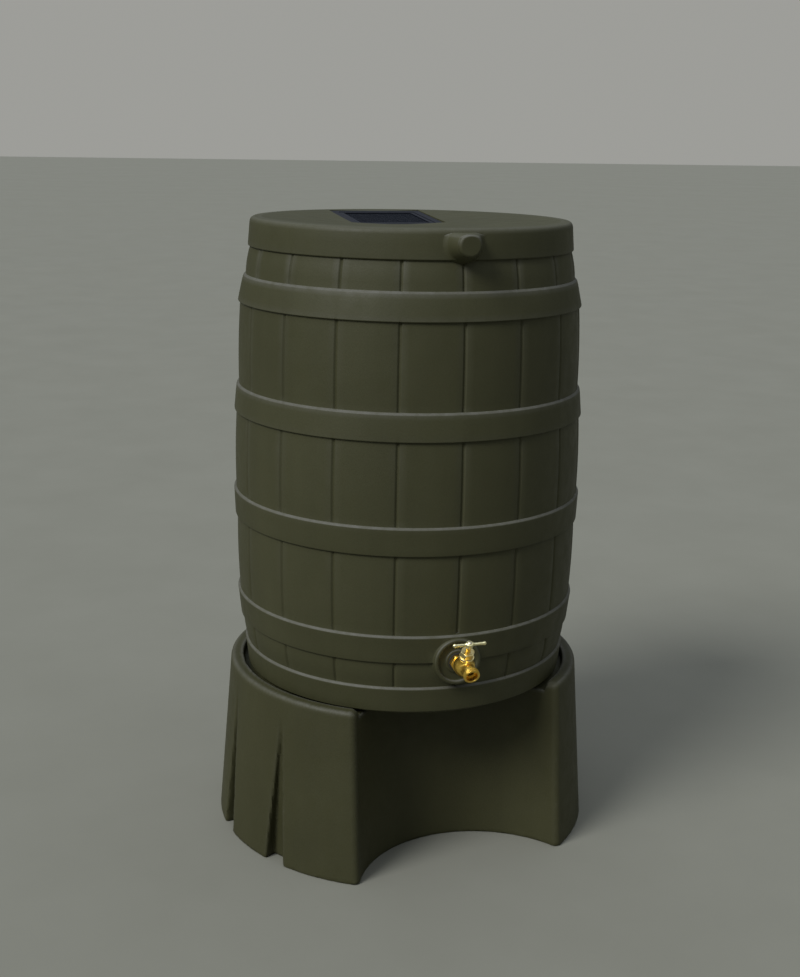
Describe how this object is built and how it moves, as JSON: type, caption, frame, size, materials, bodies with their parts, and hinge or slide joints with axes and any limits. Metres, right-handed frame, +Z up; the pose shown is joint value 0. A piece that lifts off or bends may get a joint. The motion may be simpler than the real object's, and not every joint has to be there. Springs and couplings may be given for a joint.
{
  "type": "rain barrel",
  "caption": "Plastic rain barrel with moulded staves and hoops, inlet screen, overflow cap and brass tap, on a hollow stand with a collar.",
  "frame": {"origin": "on the ground, at the centre of the whole object's footprint box; the barrel's axis is 18.9 mm behind it", "axes": "+Z up, -Y the barrel's front with the tap, +X the viewer's right when facing the tap"},
  "size_m": [0.678, 0.7159, 1.083],
  "materials": {
    "olive_plastic": "moulded, fine grain, matt",
    "stand_plastic": "moulded, fine grain, matt",
    "black_plastic": "moulded, satin",
    "black_mesh": "woven mesh",
    "brass": "machined and cast, bright",
    "rubber": "matt",
    "fibre": "pressed fibre",
    "packing": "soft packing",
    "steel": "plated"
  },
  "bodies": {
    "stand": {"stand": "stand_plastic"},
    "barrel": {"barrel_shell": "olive_plastic", "tap_body": "brass", "tap_outer_gasket": "rubber", "tap_inner_gasket": "rubber", "tap_locknut": "black_plastic", "bonnet": "brass", "bonnet_gasket": "fibre", "packing_washer": "brass", "packing_ring": "packing", "packing_nut": "brass"},
    "screen": {"screen_tray": "black_plastic", "screen_mesh": "black_mesh", "screen_frame": "black_plastic"},
    "cap": {"overflow_cap": "olive_plastic", "overflow_o_ring": "rubber"},
    "seat_disc": {"disc_holder": "brass", "seat_washer": "rubber", "washer_screw": "brass"},
    "handle": {"stem": "brass", "t_handle": "brass", "handle_screw": "steel"}
  },
  "joints": [
    {"name": "barrel_lift", "type": "slide", "parent": "stand", "child": "barrel", "axis": [0, 0, 1], "range_m": [0, 0.3]},
    {"name": "screen_lift", "type": "slide", "parent": "barrel", "child": "screen", "axis": [0, -0.0802, 0.9968], "range_m": [0, 0.12]},
    {"name": "cap_pull", "type": "slide", "parent": "barrel", "child": "cap", "axis": [0, -1, 0], "range_m": [0, 0.06]},
    {"name": "stem_lift", "type": "slide", "parent": "barrel", "child": "seat_disc", "axis": [0, -0.4384, 0.8988], "range_m": [0, 0.005]},
    {"name": "handle_turn", "type": "hinge", "parent": "seat_disc", "child": "handle", "pos_m": [0, -0.3151, 0.392], "axis": [0, -0.4384, 0.8988], "range_deg": [0, 900]}
  ],
  "couplings": [
    {"joint": "handle_turn", "follows": "stem_lift", "rad_per_m": 3141.6}
  ]
}
